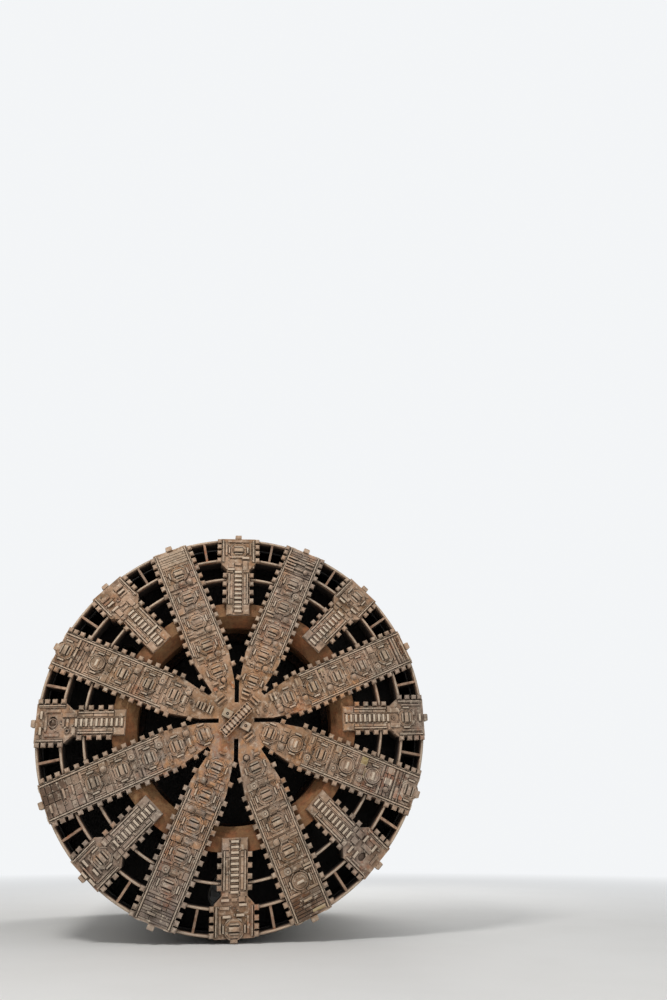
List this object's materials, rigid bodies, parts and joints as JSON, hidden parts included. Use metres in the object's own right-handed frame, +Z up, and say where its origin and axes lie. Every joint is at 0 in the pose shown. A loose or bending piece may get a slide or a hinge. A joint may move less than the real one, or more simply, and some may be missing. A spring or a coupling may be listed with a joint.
{
  "type": "tunnel boring machine",
  "caption": "Tunnel boring machine with a spoked rotating cutterhead, an articulated shield, a screw conveyor, thrust jacks and a ring erector.",
  "frame": {"origin": "on the machine's axis, in the plane of the cutterhead's face", "axes": "+X right as seen from the front, +Y back along the machine's axis, +Z up"},
  "size_m": [17.4786, 19.9848, 17.4786],
  "materials": {
    "steel": "dusty bare steel",
    "rusty": "rusty bare steel",
    "white": "matt white paint",
    "dark": "dark grey paint",
    "yellow": "yellow paint",
    "orange": "orange paint",
    "deck": "grey chequer plate"
  },
  "bodies": {
    "shield": {"front_skin": "white", "bulkhead": "white", "fixed_bars": "dark", "front_frames": "white", "gear_housing": "white", "drive_motors": "dark", "rotary_joint": "dark", "man_lock_left": "white", "man_lock_right": "white", "screw_casing": "white", "casing_flanges": "white", "outlet_box": "white", "screw_drive": "dark", "steer_cylinders": "dark"},
    "cutterhead": {"main_spoke_1": "steel", "main_spoke_2": "steel", "main_spoke_3": "steel", "main_spoke_4": "steel", "main_spoke_5": "steel", "main_spoke_6": "steel", "main_spoke_7": "steel", "main_spoke_8": "steel", "hub": "steel", "sub_spokes": "steel", "rim": "rusty", "outer_ring": "rusty", "inner_ring": "rusty", "rim_struts": "rusty", "support_webs": "rusty", "support_drum": "rusty", "drum_legs": "rusty", "rotor": "rusty", "mixing_bars": "rusty"},
    "door_left": {"lock_door_left": "dark"},
    "door_right": {"lock_door_right": "dark"},
    "auger": {"screw_auger": "dark"},
    "gate": {"outlet_gate": "dark"},
    "rear_shield": {"middle_skin": "white", "steer_clevises": "white", "girder_front": "white", "girder_tube": "white", "girder_rear": "white", "jack_barrels": "dark", "tail_skin": "white", "tail_brushes": "dark", "roller_brackets": "white", "work_decks": "deck", "towing_beams": "yellow"},
    "jacks_top": {"thrust_top": "steel"},
    "jacks_right": {"thrust_right": "steel"},
    "jacks_bottom": {"thrust_bottom": "steel"},
    "jacks_left": {"thrust_left": "steel"},
    "erector_ring": {"erector_ring": "yellow"},
    "erector_beam": {"erector_beam": "orange"},
    "grip_head": {"grip_head": "orange"}
  },
  "joints": [
    {"name": "cutterhead_spin", "type": "hinge", "parent": "shield", "child": "cutterhead", "pos_m": [0, 0, 0], "axis": [0, 1, 0], "continuous": true},
    {"name": "auger_spin", "type": "hinge", "parent": "shield", "child": "auger", "pos_m": [0, 3.5003, -7.1], "axis": [0, 0.9272, 0.3746], "continuous": true},
    {"name": "gate_slide", "type": "slide", "parent": "shield", "child": "gate", "axis": [0, -0.9272, -0.3746], "range_m": [0, 1.1]},
    {"name": "door_left_swing", "type": "hinge", "parent": "shield", "child": "door_left", "pos_m": [-5.7886, 7.0853, 3.56], "axis": [0, 0, 1], "range_deg": [0, 95]},
    {"name": "door_right_swing", "type": "hinge", "parent": "shield", "child": "door_right", "pos_m": [5.7886, 7.0853, 3.56], "axis": [0, 0, -1], "range_deg": [0, 95]},
    {"name": "articulation", "type": "hinge", "parent": "shield", "child": "rear_shield", "pos_m": [0, 7.5, 0], "axis": [0, 0, 1], "range_deg": [-0.8, 0.8]},
    {"name": "thrust_top_stroke", "type": "slide", "parent": "rear_shield", "child": "jacks_top", "axis": [0, 1, 0], "range_m": [0, 2.3]},
    {"name": "thrust_right_stroke", "type": "slide", "parent": "rear_shield", "child": "jacks_right", "axis": [0, 1, 0], "range_m": [0, 2.3]},
    {"name": "thrust_bottom_stroke", "type": "slide", "parent": "rear_shield", "child": "jacks_bottom", "axis": [0, 1, 0], "range_m": [0, 2.3]},
    {"name": "thrust_left_stroke", "type": "slide", "parent": "rear_shield", "child": "jacks_left", "axis": [0, 1, 0], "range_m": [0, 2.3]},
    {"name": "erector_turn", "type": "hinge", "parent": "rear_shield", "child": "erector_ring", "pos_m": [0, 11.9, 0], "axis": [0, 1, 0], "range_deg": [-200, 200]},
    {"name": "erector_reach", "type": "slide", "parent": "erector_ring", "child": "erector_beam", "axis": [0, 0, -1], "range_m": [0, 0.6]},
    {"name": "grip_shift", "type": "slide", "parent": "erector_beam", "child": "grip_head", "axis": [0, 1, 0], "range_m": [0, 0.8]}
  ]
}
